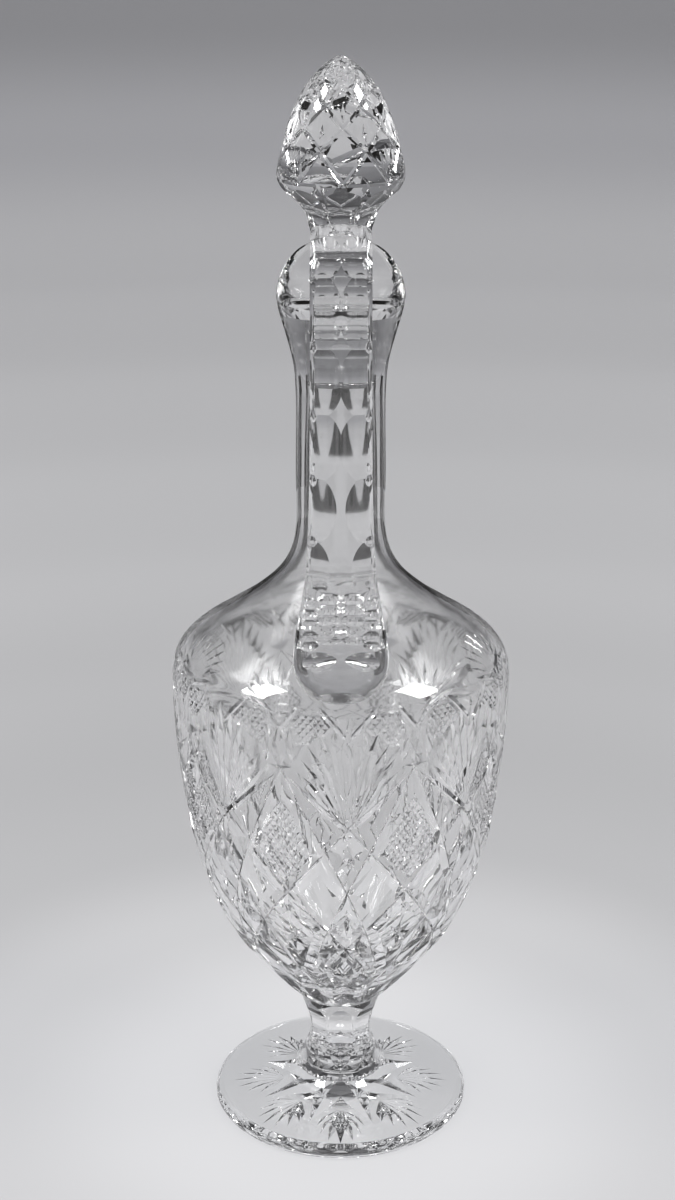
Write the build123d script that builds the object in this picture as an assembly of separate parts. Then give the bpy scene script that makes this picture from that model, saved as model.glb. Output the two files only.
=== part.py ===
"""Footed cut crystal decanter with a strap handle, a raised pouring lip and a ground stopper.

Frame: origin at the centre of the foot's flat underside, +Z up along the axis of the glass.
The handle is on the -Y side and the pouring lip on the +Y side. Units are millimetres.
"""
from build123d import *
import math
import os

# ---- driving dimensions ------------------------------------------------------------------
SIDES = 8                     # every cut on the glass repeats eight times round the axis

FOOT_RADIUS = 47.0
FOOT_TABLE_RADIUS = 44.0      # where the domed top meets the rounded edge
FOOT_EDGE_HEIGHT = 5.0
FOOT_HEIGHT = 12.0            # top of the boss that carries the stem
FOOT_BOSS_RADIUS = 15.0

STEM_TOP = 44.0               # joint between stem and vessel
STEM_TOP_RADIUS = 15.4
STEM_RING_RADIUS = 16.0
STEM_RING_TOP = 14.5
STEM_WAIST_HEIGHT = 29.0
STEM_WAIST_APOTHEM = 10.8
STEM_CUT_RADIUS = 22.0        # wheel radius of the hollow facets

NECK_RADIUS = 15.2
NECK_FOOT = 222.0             # where the neck leaves the shoulder
NECK_SLOPE = (-0.04, 0, 1)    # direction of the glass there
SEAT_BOTTOM = 272.0           # ground taper that holds the stopper
SEAT_TOP = 298.0
SEAT_BOTTOM_RADIUS = 11.0
SEAT_TOP_RADIUS = 12.0
BORE_RADIUS = 12.0            # blown bore of the neck below the seat
LIP_TOP = 318.0               # tip of the pouring lip
LIP_NEAR = 304.0              # rim beside the handle
LIP_LOW = 301.3               # lowest point of the rim, at the sides
LIP_RADIUS = 24.0

STOPPER_TOP = 380.0
STOPPER_RADIUS = 20.9
STOPPER_WIDEST = 342.0
STOPPER_BASE = 331.0
SHANK_RADIUS = 9.2
SHANK_BOTTOM = 300.0
PLUG_BOTTOM = 274.0
PLUG_CLEARANCE = 0.06         # radial gap of the ground taper when the stopper is seated

HANDLE_TOP = 333.0
HANDLE_WIDTH_TOP = 18.4
HANDLE_WIDTH_MIDDLE = 20.0
HANDLE_PAD_WIDTH = 31.0

# ---- outlines: (radius, height) -----------------------------------------------------------
BOWL_OUTSIDE = [
    (STEM_TOP_RADIUS, STEM_TOP), (20.4, 49), (25.7, 55), (31.5, 62), (37.6, 70), (43.4, 80),
    (48.3, 92), (52.4, 105), (55.3, 120), (57.2, 135), (58.5, 150), (59.1, 171),
]
SHOULDER_OUTSIDE = [
    (59.1, 171), (58.2, 177.5), (55.2, 182), (50.6, 186), (41.4, 192), (31.0, 199),
    (22.1, 207), (17.6, 214), (NECK_RADIUS + 0.4, NECK_FOOT),
]
BOWL_INSIDE = [
    (0.0, 53), (9.0, 55), (20.0, 63), (29.0, 72.5), (37.0, 83), (42.6, 94), (46.9, 107),
    (49.8, 121), (51.8, 136), (53.2, 151), (54.0, 170),
]
SHOULDER_INSIDE = [
    (54.0, 170), (52.8, 176), (49.0, 180.4), (43.5, 184.6), (33.5, 191), (24.0, 198.4),
    (16.8, 206), (13.4, 213.5), (BORE_RADIUS, 224),
]
LIP_OUTSIDE = [(NECK_RADIUS, 275), (17.3, 287), (20.3, 297), (21.7, 304), (LIP_RADIUS, LIP_TOP + 2)]
LIP_INSIDE = [(SEAT_TOP_RADIUS, SEAT_TOP), (14.4, 301), (18.2, 305), (20.0, 310), (21.4, LIP_TOP + 2)]
RIM_SIDE_VIEW = [                       # (y, z) of the rim seen from the side
    (-30, LIP_NEAR + 0.6), (-20, LIP_NEAR), (-8, LIP_LOW), (1, 303.2), (11, 309.2), (19, 315.4),
    (24, LIP_TOP), (30, LIP_TOP + 0.4),
]
HANDLE_OUTER = [                        # (y, z) along the back of the strap, from lip to shoulder
    (-19.0, 305.0), (-21.5, 320.0), (-29.5, 331.0), (-40.0, HANDLE_TOP - 1.0), (-50.5, 324.0),
    (-55.6, 306.0), (-56.4, 283.0), (-53.6, 258.0), (-49.0, 236.0), (-45.8, 219.0), (-47.5, 205.0),
    (-54.0, 193.0), (-59.4, 186.0),
]
HANDLE_INNER = [                        # the same run on the finger side, from shoulder to lip
    (-46.0, 186.0), (-36.0, 192.0), (-32.5, 203.0), (-35.0, 217.0), (-39.2, 236.0), (-43.6, 258.0),
    (-46.2, 283.0), (-45.4, 304.0), (-41.0, 317.5), (-35.0, 321.8), (-30.4, 318.0), (-26.6, 307.0),
    (-22.0, 294.0), (-14.0, 288.0),
]


def around(shape, count=SIDES, start=0.0):
    """Copies of a shape at equal angles round the axis."""
    return [Rot(0, 0, start + 360.0 * i / count) * shape for i in range(count)]


def turned(edges):
    """Solid of revolution from edges drawn in the XZ plane."""
    return revolve(make_face(edges), Axis.Z)


def foot():
    rim_middle = FOOT_EDGE_HEIGHT / 2
    edges = [
        Line((0, 0, 0), (FOOT_TABLE_RADIUS + 1.0, 0, 0)),
        ThreePointArc((FOOT_TABLE_RADIUS + 1.0, 0, 0), (FOOT_RADIUS, 0, rim_middle - 0.3),
                      (FOOT_TABLE_RADIUS, 0, FOOT_EDGE_HEIGHT)),
        Spline((FOOT_TABLE_RADIUS, 0, FOOT_EDGE_HEIGHT), (34, 0, 5.8), (24, 0, 7.4), (18, 0, 9.6),
               (FOOT_BOSS_RADIUS, 0, FOOT_HEIGHT)),
        Line((FOOT_BOSS_RADIUS, 0, FOOT_HEIGHT), (0, 0, FOOT_HEIGHT)),
        Line((0, 0, FOOT_HEIGHT), (0, 0, 0)),
    ]
    return turned(edges)


def hollow_facet(apothem, height, wheel, width=40.0):
    """The wheel that grinds one hollow facet, on the +X side."""
    return Pos(apothem + wheel, 0, height) * (Rot(90, 0, 0) * Cylinder(wheel, width))


def stem():
    edges = [
        Line((0, 0, FOOT_HEIGHT), (FOOT_BOSS_RADIUS, 0, FOOT_HEIGHT)),
        Line((FOOT_BOSS_RADIUS, 0, FOOT_HEIGHT), (STEM_RING_RADIUS, 0, FOOT_HEIGHT + 1.0)),
        Line((STEM_RING_RADIUS, 0, FOOT_HEIGHT + 1.0), (STEM_RING_RADIUS - 0.4, 0, STEM_RING_TOP)),
        Line((STEM_RING_RADIUS - 0.4, 0, STEM_RING_TOP), (13.6, 0, 17.5)),
        Spline((13.6, 0, 17.5), (11.9, 0, 24.0), (11.6, 0, STEM_WAIST_HEIGHT), (12.8, 0, 36.0),
               (STEM_TOP_RADIUS, 0, STEM_TOP)),
        Line((STEM_TOP_RADIUS, 0, STEM_TOP), (0, 0, STEM_TOP)),
        Line((0, 0, STEM_TOP), (0, 0, FOOT_HEIGHT)),
    ]
    blank = turned(edges)
    cut = hollow_facet(STEM_WAIST_APOTHEM, STEM_WAIST_HEIGHT, STEM_CUT_RADIUS)
    return blank - around(cut, start=90.0)


def outer_edges():
    """Outside line of the vessel from its base to above the lip."""
    bowl = [(r, 0, z) for r, z in BOWL_OUTSIDE]
    shoulder = [(r, 0, z) for r, z in SHOULDER_OUTSIDE]
    lip = [(r, 0, z) for r, z in LIP_OUTSIDE]
    return [
        Spline(*bowl, tangents=[(1.0, 0, 1.1), (0, 0, 1)]),
        Spline(*shoulder, tangents=[(0, 0, 1), NECK_SLOPE]),
        Line(shoulder[-1], lip[0]),
        Spline(*lip, tangents=[(0, 0, 1), (0.12, 0, 1)]),
    ]


def inner_edges():
    """Inside line of the vessel, from above the lip down to the well."""
    bowl = [(r, 0, z) for r, z in BOWL_INSIDE]
    shoulder = [(r, 0, z) for r, z in SHOULDER_INSIDE]
    lip = [(r, 0, z) for r, z in LIP_INSIDE]
    seat_foot = (SEAT_BOTTOM_RADIUS, 0, SEAT_BOTTOM)
    bore_top = (BORE_RADIUS, 0, SEAT_BOTTOM - 3.0)
    return [
        Spline(*lip, tangents=[(0.5, 0, 1), (0.12, 0, 1)]),
        Line(lip[0], seat_foot),
        Line(seat_foot, bore_top),
        Line(bore_top, shoulder[-1]),
        Spline(*shoulder, tangents=[(0, 0, 1), NECK_SLOPE]),
        Spline(*bowl, tangents=[(1, 0, 0), (0, 0, 1)]),
    ]


def rim_trim():
    """Block above the rim line, which rises from the handle side to the pouring lip."""
    points = [(0, y, z) for y, z in RIM_SIDE_VIEW]
    above = LIP_TOP + 20.0
    first = points[0]
    last = points[-1]
    side = make_face([
        Spline(*points),
        Line(last, (0, last[1], above)),
        Line((0, last[1], above), (0, first[1], above)),
        Line((0, first[1], above), first),
    ])
    return extrude(side, amount=2 * LIP_RADIUS, dir=(1, 0, 0), both=True)


def vessel_blank(with_inside=True):
    """The vessel before its rim is cut: hollow, or solid for fitting the handle."""
    outside = outer_edges()
    top_radius = LIP_OUTSIDE[-1][0]
    top = LIP_OUTSIDE[-1][1]
    base = Line((0, 0, STEM_TOP), (STEM_TOP_RADIUS, 0, STEM_TOP))
    if not with_inside:
        lid = Line((top_radius, 0, top), (0, 0, top))
        return turned(outside + [lid, Line((0, 0, top), (0, 0, STEM_TOP)), base])
    lid = Line((top_radius, 0, top), (LIP_INSIDE[-1][0], 0, top))
    core = Line((0, 0, BOWL_INSIDE[0][1]), (0, 0, STEM_TOP))
    return turned(outside + [lid] + inner_edges() + [core, base])


def vessel():
    return vessel_blank() - rim_trim()


def handle_front():
    """Front outline of the handle: a strap that widens to a rounded pad on the shoulder."""
    half_top = HANDLE_WIDTH_TOP / 2
    half_middle = HANDLE_WIDTH_MIDDLE / 2
    half_pad = HANDLE_PAD_WIDTH / 2
    right = [(half_top, 0, 336), (half_top, 0, 300), (half_middle, 0, 250), (half_middle + 1.6, 0, 222),
             (half_pad - 1.2, 0, 204), (half_pad, 0, 196)]
    left = [(-x, y, z) for x, y, z in right]
    outline = make_face([
        Spline(*right),
        ThreePointArc(right[-1], (0, 0, 183.5), left[-1]),
        Spline(*left[::-1]),
        Line(left[0], right[0]),
    ])
    return Pos(0, -80, 0) * extrude(outline, amount=75, dir=(0, 1, 0))


def handle():
    back = [(0, y, z) for y, z in HANDLE_OUTER]
    finger = [(0, y, z) for y, z in HANDLE_INNER]
    side = make_face([
        Spline(*back),
        Line(back[-1], finger[0]),
        Spline(*finger),
        Line(finger[-1], back[0]),
    ])
    strap = extrude(side, amount=HANDLE_PAD_WIDTH, dir=(1, 0, 0), both=True)
    strap = strap & handle_front()
    lower_lip = vessel_blank(with_inside=False)
    return strap - lower_lip


def seat_radius(height):
    """Radius of the ground seat at a height."""
    share = (height - SEAT_BOTTOM) / (SEAT_TOP - SEAT_BOTTOM)
    return SEAT_BOTTOM_RADIUS + share * (SEAT_TOP_RADIUS - SEAT_BOTTOM_RADIUS)


def stopper():
    plug_low = seat_radius(PLUG_BOTTOM) - PLUG_CLEARANCE
    plug_high = seat_radius(SEAT_TOP) - PLUG_CLEARANCE
    edges = [
        Line((0, 0, PLUG_BOTTOM), (plug_low, 0, PLUG_BOTTOM)),
        Line((plug_low, 0, PLUG_BOTTOM), (plug_high, 0, SEAT_TOP)),
        Line((plug_high, 0, SEAT_TOP), (SHANK_RADIUS + 0.6, 0, SHANK_BOTTOM)),
        Spline((SHANK_RADIUS + 0.6, 0, SHANK_BOTTOM), (SHANK_RADIUS, 0, 312), (SHANK_RADIUS + 0.1, 0, 324),
               (12.4, 0, STOPPER_BASE), (18.6, 0, 336)),
        Spline((18.6, 0, 336), (STOPPER_RADIUS, 0, STOPPER_WIDEST), (19.9, 0, 349), (18.3, 0, 355),
               (16.3, 0, 361), (13.6, 0, 367), (10.4, 0, 372), (6.2, 0, 376.5), (0, 0, STOPPER_TOP)),
        Line((0, 0, STOPPER_TOP), (0, 0, PLUG_BOTTOM)),
    ]
    blank = turned(edges)
    facet = hollow_facet(SHANK_RADIUS - 0.7, 318.0, 14.0)
    return blank - around(facet, start=90.0)


def main():
    os.makedirs("parts", exist_ok=True)
    pieces = {
        "foot": foot(),
        "stem": stem(),
        "vessel": vessel(),
        "handle": handle(),
        "stopper": stopper(),
    }
    for name, shape in pieces.items():
        export_step(shape, f"parts/{name}.step")


main()
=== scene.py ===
"""Looks of the cut crystal decanter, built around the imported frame.

The glass is modelled piece by piece in millimetres and turned into metres when a mesh is made. Every
cut is real geometry: a pattern is a flat sheet of convex polygons, each groove splits the polygons along
its own creases, and the sheet is then wrapped round the glass with each corner sunk by the depth of its
groove. Heights are from the floor, and degrees go round the glass from the handle.
"""
import math

import bmesh
import bpy
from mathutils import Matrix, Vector


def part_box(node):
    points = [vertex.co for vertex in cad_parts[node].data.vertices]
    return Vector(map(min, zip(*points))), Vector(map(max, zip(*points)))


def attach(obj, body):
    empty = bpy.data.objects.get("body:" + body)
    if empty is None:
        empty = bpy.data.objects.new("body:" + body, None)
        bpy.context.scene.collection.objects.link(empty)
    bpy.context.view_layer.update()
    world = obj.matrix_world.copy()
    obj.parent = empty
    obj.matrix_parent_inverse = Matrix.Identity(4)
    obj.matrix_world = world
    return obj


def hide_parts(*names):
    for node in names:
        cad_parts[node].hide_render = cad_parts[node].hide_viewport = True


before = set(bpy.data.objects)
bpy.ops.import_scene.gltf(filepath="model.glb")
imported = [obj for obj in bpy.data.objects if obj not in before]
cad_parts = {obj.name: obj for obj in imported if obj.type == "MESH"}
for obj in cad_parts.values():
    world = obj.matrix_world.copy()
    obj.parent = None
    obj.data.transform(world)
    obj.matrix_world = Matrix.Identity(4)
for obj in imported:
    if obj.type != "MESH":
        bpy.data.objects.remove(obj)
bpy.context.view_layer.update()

MM = 0.001
SIDES = 8  # the cutting repeats eight times round the glass
HALF_SECTOR = math.pi / SIDES  # the pattern in one half sector is mirrored to make the rest
COLUMNS = 8  # columns of plain glass in a half sector
AROUND = 2 * SIDES * COLUMNS
CONTACT = 0.06  # overlap of fused pieces, so that no air shows between them


def top_of(node):
    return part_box(node)[1][2] / MM


def radius_of(node):
    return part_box(node)[1][0] / MM


FOOT_RADIUS = radius_of("foot")
FOOT_TOP = top_of("foot")
STEM_TOP = top_of("stem")
BODY_RADIUS = radius_of("vessel")
LIP_TOP = top_of("vessel")
STOPPER_TOP = top_of("stopper")
STOPPER_RADIUS = radius_of("stopper")
PLUG_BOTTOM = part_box("stopper")[0][2] / MM
HANDLE_TOP = top_of("handle")


# ---- smooth outlines ----

def smooth_line(points, steps=16):
    """A centripetal Catmull-Rom line through the points, which may have any number of coordinates."""
    def lerp(a, b, t):
        return tuple(p + (q - p) * t for p, q in zip(a, b))

    first = tuple(2 * p - q for p, q in zip(points[0], points[1]))
    last = tuple(2 * p - q for p, q in zip(points[-1], points[-2]))
    full = [first, *points, last]
    line = []
    for i in range(1, len(full) - 2):
        quad = full[i - 1:i + 3]
        knots = [0.0]
        for a, b in zip(quad, quad[1:]):
            knots.append(knots[-1] + math.dist(a[:2], b[:2]) ** 0.5)
        for j in range(steps):
            t = knots[1] + (knots[2] - knots[1]) * j / steps
            level = quad
            for gap in (1, 2):
                level = [lerp(level[k], level[k + 1], (t - knots[k]) / (knots[k + gap] - knots[k]))
                         for k in range(len(level) - 1)]
            line.append(lerp(level[0], level[1], (t - knots[1]) / (knots[2] - knots[1])))
    line.append(tuple(points[-1]))
    return line


def closed_in(low, high, too_low, halvings=40):
    """Low and high, brought together round the place where too_low stops being true."""
    for _ in range(halvings):
        middle = (low + high) / 2
        if too_low(middle):
            low = middle
        else:
            high = middle
    return low, high


class Outline:
    """A smooth line of points, measured by the distance run along it.

    The first two coordinates of a point are its place. More may follow.
    """

    def __init__(self, points):
        self.line = smooth_line(points)
        self.runs = [0.0]
        for a, b in zip(self.line, self.line[1:]):
            self.runs.append(self.runs[-1] + math.dist(a[:2], b[:2]))
        self.length = self.runs[-1]

    def at(self, run):
        run = min(max(run, 0.0), self.length)
        low, high = 0, len(self.runs) - 1
        while high - low > 1:
            middle = (low + high) // 2
            if self.runs[middle] <= run:
                low = middle
            else:
                high = middle
        share = (run - self.runs[low]) / (self.runs[high] - self.runs[low])
        return tuple(p + (q - p) * share for p, q in zip(self.line[low], self.line[high]))

    def normal(self, run, reach=0.6):
        """Unit normal to the right of the direction of travel."""
        run = min(max(run, 0.0), self.length)
        a, b = self.at(run - reach), self.at(run + reach)
        across, up = b[0] - a[0], b[1] - a[1]
        size = math.hypot(across, up)
        return up / size, -across / size

    def run_at_height(self, height):
        """The run at which the second coordinate, which only rises, reaches a height."""
        return sum(closed_in(0.0, self.length, lambda run: self.at(run)[1] < height)) / 2


# ---- cutting a sheet ----
# A level is the depth of one wall of a groove over the sheet, as the six numbers of a quadratic:
# depth = c + x a + y b + x x p + x y q + y y r.

PLAIN = (0.0,) * 6
TOUCH = 1e-7  # a level this near to zero counts as zero
STRAIGHT = 1e-9  # a level with less bend than this changes evenly


def depth_at(level, x, y):
    c, a, b, p, q, r = level
    return c + x * a + y * b + x * x * p + x * y * q + y * y * r


def minus(a, b):
    return tuple(p - q for p, q in zip(a, b))


def crossing(level, here, there, a, b):
    """The point between here and there where the level is zero; it is a and b at the two ends."""
    m = depth_at(level, (here[0] + there[0]) / 2, (here[1] + there[1]) / 2)
    bend, slope = 2 * a + 2 * b - 4 * m, 4 * m - 3 * a - b
    t = a / (a - b)
    if abs(bend) > STRAIGHT:
        root = math.sqrt(max(slope * slope - 4 * bend * a, 0.0))
        answers = ((-slope + root) / (2 * bend), (-slope - root) / (2 * bend))
        t = min(answers, key=lambda v: abs(v - t))
    t = min(max(t, 0.0), 1.0)
    return here[0] + (there[0] - here[0]) * t, here[1] + (there[1] - here[1]) * t


def split(part, level):
    """A convex polygon divided where a level changes sign: the part above zero and the part below."""
    values = [depth_at(level, x, y) for x, y in part]
    if max(values) <= TOUCH:
        return [], part
    if min(values) >= -TOUCH:
        return part, []
    above, below = [], []
    for i, here in enumerate(part):
        a, b = values[i], values[(i + 1) % len(part)]
        if a >= -TOUCH:
            above.append(here)
        if a <= TOUCH:
            below.append(here)
        if a * b < 0 and abs(a) > TOUCH and abs(b) > TOUCH:
            point = crossing(level, here, part[(i + 1) % len(part)], a, b)
            above.append(point)
            below.append(point)
    return above, below


def lowest_parts(part, walls):
    """The polygon shared out among the walls, each where it is the lowest."""
    found = []
    for wall in walls:
        mine = part
        for other in walls:
            if other is not wall and len(mine) > 2:
                mine, _ = split(mine, minus(other, wall))
        if len(mine) > 2:
            found.append((mine, wall))
    return found


def carve(parts, cut):
    """Every polygon of the sheet after one more cut."""
    walls, (left, low, right, high) = cut
    result = []
    for points, level in parts:
        if (max(p[0] for p in points) < left or min(p[0] for p in points) > right
                or max(p[1] for p in points) < low or min(p[1] for p in points) > high):
            result.append((points, level))
            continue
        inside, around = points, []
        for wall in walls:
            inside, outside = split(inside, minus(wall, level))
            if len(inside) < 3:
                break
            if len(outside) > 2:
                around.append((outside, level))
        if len(inside) < 3:
            result.append((points, level))
        else:
            result.extend(around + lowest_parts(inside, walls))
    return result


def groove(start, end, width, depth, start_tip, end_tip):
    """A V cut between two points. At each end it rises to a point over the length of its tip."""
    length = math.dist(start, end)
    ux, uy = (end[0] - start[0]) / length, (end[1] - start[1]) / length
    slope = 2 * depth / width
    walls = []
    for side in (slope, -slope):
        across = (side * (start[0] * uy - start[1] * ux), -side * uy, side * ux, 0.0, 0.0, 0.0)
        along = -(start[0] * ux + start[1] * uy)
        rise, fall = depth / start_tip, depth / end_tip
        for run in (
            (depth, 0.0, 0.0),
            (rise * along, rise * ux, rise * uy),
            (fall * (length - along), -fall * ux, -fall * uy),
        ):
            walls.append(tuple(p + q for p, q in zip(across, (*run, 0.0, 0.0, 0.0))))
    return walls, box_round([start, end], width)


def crossing_groove(a, b, width, depth, tip):
    """A groove that runs past both of its ends by the length of its tip."""
    length = math.dist(a, b)
    ux, uy = (b[0] - a[0]) / length, (b[1] - a[1]) / length
    start = (a[0] - ux * tip, a[1] - uy * tip)
    end = (b[0] + ux * tip, b[1] + uy * tip)
    return groove(start, end, width, depth, tip, tip)


def hollow(x, y, half_x, half_y, depth):
    """A round-bottomed oval cut."""
    p, r = depth / half_x ** 2, depth / half_y ** 2
    wall = (depth - p * x * x - r * y * y, 2 * p * x, 2 * r * y, -p, 0.0, -r)
    return [wall], (x - half_x, y - half_y, x + half_x, y + half_y)


def box_round(points, margin):
    xs, ys = [p[0] for p in points], [p[1] for p in points]
    return min(xs) - margin, min(ys) - margin, max(xs) + margin, max(ys) + margin


def fan(apex, angles, lengths, width, depth, gap, root=0.35, tip=0.5):
    """Leaf cuts that spread from an apex. Angles are from the +y direction, in degrees."""
    cuts = []
    for angle, length in zip(angles, lengths):
        dx, dy = math.sin(math.radians(angle)), math.cos(math.radians(angle))
        start = (apex[0] + gap * dx, apex[1] + gap * dy)
        end = (apex[0] + length * dx, apex[1] + length * dy)
        run = length - gap
        cuts.append(groove(start, end, width, depth, root * run, tip * run))
    return cuts


def hatching(region, angle, pitch, depth):
    """Parallel fine cuts across a convex region."""
    ux, uy = math.cos(math.radians(angle)), math.sin(math.radians(angle))
    offsets = [y * ux - x * uy for x, y in region]
    cuts = []
    for i in range(math.ceil(min(offsets) / pitch), math.floor(max(offsets) / pitch) + 1):
        ends = []
        for a, b in zip(region, region[1:] + region[:1]):
            da = a[1] * ux - a[0] * uy - i * pitch
            db = b[1] * ux - b[0] * uy - i * pitch
            if da * db < 0:
                t = da / (da - db)
                ends.append((a[0] + (b[0] - a[0]) * t, a[1] + (b[1] - a[1]) * t))
        if len(ends) == 2 and math.dist(*ends) > 2 * pitch:
            cuts.append(groove(ends[0], ends[1], pitch * 0.98, depth, pitch * 0.6, pitch * 0.6))
    return cuts


def grid(xs, ys):
    """Plain cells between two lists of lines."""
    return [
        ([(a, c), (b, c), (b, d), (a, d)], PLAIN)
        for a, b in zip(xs, xs[1:]) for c, d in zip(ys, ys[1:])
    ]


def spaced(low, high, step):
    count = max(1, round((high - low) / step))
    return [low + (high - low) * i / count for i in range(count + 1)]


def hemmed(lines, hem=0.12):
    """The same lines with one more narrow row at each end, which keeps the sheet's edge whole."""
    return [lines[0], lines[0] + hem, *lines[1:-1], lines[-1] - hem, lines[-1]]


def mirrored(cuts):
    """The same cuts on the other side of x = 0."""
    flip = (1, -1, 1, 1, -1, 1)
    return [
        ([tuple(v * f for v, f in zip(wall, flip)) for wall in walls], (-right, low, -left, high))
        for walls, (left, low, right, high) in cuts
    ]


def cut_sheet(parts, cuts):
    for cut in cuts:
        parts = carve(parts, cut)
    return parts


def welded(parts, cell=1.5, same=2e-5, near=1e-3):
    """The shared corners of a sheet, with depths, and its polygons.

    Each polygon takes in every corner that lies on its edges. Places nearer than same are one corner.
    """
    corners, places, buckets = [], {}, {}

    def corner(point, level):
        left = math.floor(point[0] / same - 0.5)
        low = math.floor(point[1] / same - 0.5)
        for key in ((left, low), (left + 1, low), (left, low + 1), (left + 1, low + 1)):
            if key in places:
                return places[key]
        key = (round(point[0] / same), round(point[1] / same))
        places[key] = len(corners)
        corners.append((point[0], point[1], depth_at(level, *point)))
        buckets.setdefault((int(point[0] // cell), int(point[1] // cell)), []).append(places[key])
        return places[key]

    loops = [[corner(p, level) for p in points] for points, level in parts]
    faces = []
    for loop in loops:
        face = []
        for i, a in enumerate(loop):
            b = loop[(i + 1) % len(loop)]
            if a == b:
                continue
            face.append(a)
            (ax, ay, _), (bx, by, _) = corners[a], corners[b]
            length = math.hypot(bx - ax, by - ay)
            ux, uy = (bx - ax) / length, (by - ay) / length
            between = []
            for gx in range(int(min(ax, bx) // cell), int(max(ax, bx) // cell) + 1):
                for gy in range(int(min(ay, by) // cell), int(max(ay, by) // cell) + 1):
                    for k in buckets.get((gx, gy), ()):
                        px, py = corners[k][0] - ax, corners[k][1] - ay
                        run = px * ux + py * uy
                        if near < run < length - near and abs(px * uy - py * ux) < near:
                            between.append((run, k))
            face.extend(k for _, k in sorted(between) if k not in (a, b))
        if len(set(face)) > 2:
            faces.append(face)
    return corners, faces


# ---- meshes ----

WELD = 6e-7  # corners nearer than this, in metres, become one
NO_LENGTH = 1e-7  # shorter edges go
LARGEST_GAP = 12  # gaps with up to this many edges are closed
LID_MIDDLE = 7.5


class Shell:
    """Collects the corners and faces of one piece."""

    def __init__(self):
        self.points, self.faces = [], []

    def add(self, points, faces, flip=False):
        base = len(self.points)
        self.points.extend(points)
        self.faces.extend([base + k for k in (reversed(f) if flip else f)] for f in faces)

    def add_sectors(self, placed, faces, turn=0.0, variants=None, varied=(0,)):
        """Sixteen mirrored copies of a half sector. placed holds (angle, radius, height) for each corner.

        The varied sectors get the variants instead. Sector 0 is under the handle.
        """
        for sector in range(SIDES):
            for side in (1, -1):
                here, these = variants if variants and sector in varied else (placed, faces)
                middle = turn + sector * 2 * HALF_SECTOR
                points = [ring_point(middle + side * a, r, z) for a, r, z in here]
                self.add(points, these, flip=side < 0)

    def add_rows(self, rows):
        """Rings of points, joined one to the next round the axis. A ring of one point closes the end."""
        for low, high in zip(rows, rows[1:]):
            if len(low) == 1:
                low = low * len(high)
            if len(high) == 1:
                high = high * len(low)
            n = len(low)
            self.add([*low, *high], [[k, (k + 1) % n, n + (k + 1) % n, n + k] for k in range(n)])

    def piece(self, name, material, sharp=9.0):
        """The mesh object. Edges where it turns by more than the given degrees are crisp."""
        mesh = bpy.data.meshes.new(name)
        mesh.from_pydata([(x * MM, y * MM, z * MM) for x, y, z in self.points], [], self.faces)
        work = bmesh.new()
        work.from_mesh(mesh)
        bmesh.ops.remove_doubles(work, verts=work.verts, dist=WELD)
        bmesh.ops.dissolve_degenerate(work, edges=work.edges, dist=NO_LENGTH)
        loose = [v for v in work.verts if not v.link_faces]
        bmesh.ops.delete(work, geom=loose, context="VERTS")
        gaps = [e for e in work.edges if e.is_boundary]
        bmesh.ops.holes_fill(work, edges=gaps, sides=LARGEST_GAP)
        bmesh.ops.recalc_face_normals(work, faces=work.faces)
        limit = math.radians(sharp)
        for edge in work.edges:
            edge.smooth = len(edge.link_faces) == 2 and edge.calc_face_angle(0.0) < limit
        for face in work.faces:
            face.smooth = True
        work.to_mesh(mesh)
        work.free()
        mesh.materials.append(material)
        made = bpy.data.objects.new(name, mesh)
        bpy.context.scene.collection.objects.link(made)
        return made


def ring_point(angle, radius, height):
    """A point round the axis. Angle 0 is the handle side, -Y, and it grows towards +X."""
    return radius * math.sin(angle), -radius * math.cos(angle), height


def ring(radius, height, turn=0.0, count=AROUND):
    if radius < 1e-6:
        return [(0.0, 0.0, height)]
    return [ring_point(turn + 2 * math.pi * k / count, radius, height) for k in range(count)]


def lid(radius, height, turn=0.0):
    """Rings of a flat round end, from its rim to its middle."""
    return [ring(radius, height, turn), ring(LID_MIDDLE, height, turn), ring(0, height)]


def wrapped(corners, outline, width_radius):
    """Corners of a sheet wrapped round an outline: x goes round the axis and y runs along the outline."""
    placed = []
    for x, y, depth in corners:
        r, z = outline.at(y)[:2]
        nr, nz = outline.normal(y)
        placed.append((x / width_radius, max(r - depth * nr, 0.0), z - depth * nz))
    return placed


# ---- crystal ----

CRYSTAL_IOR = 1.55
SHADOW_TINT = (0.97, 0.972, 0.975, 1.0)
WEAR_SCALE = 160.0  # patches of finer and softer polish, per metre
WEAR_RANGE = (0.55, 0.85)


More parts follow.
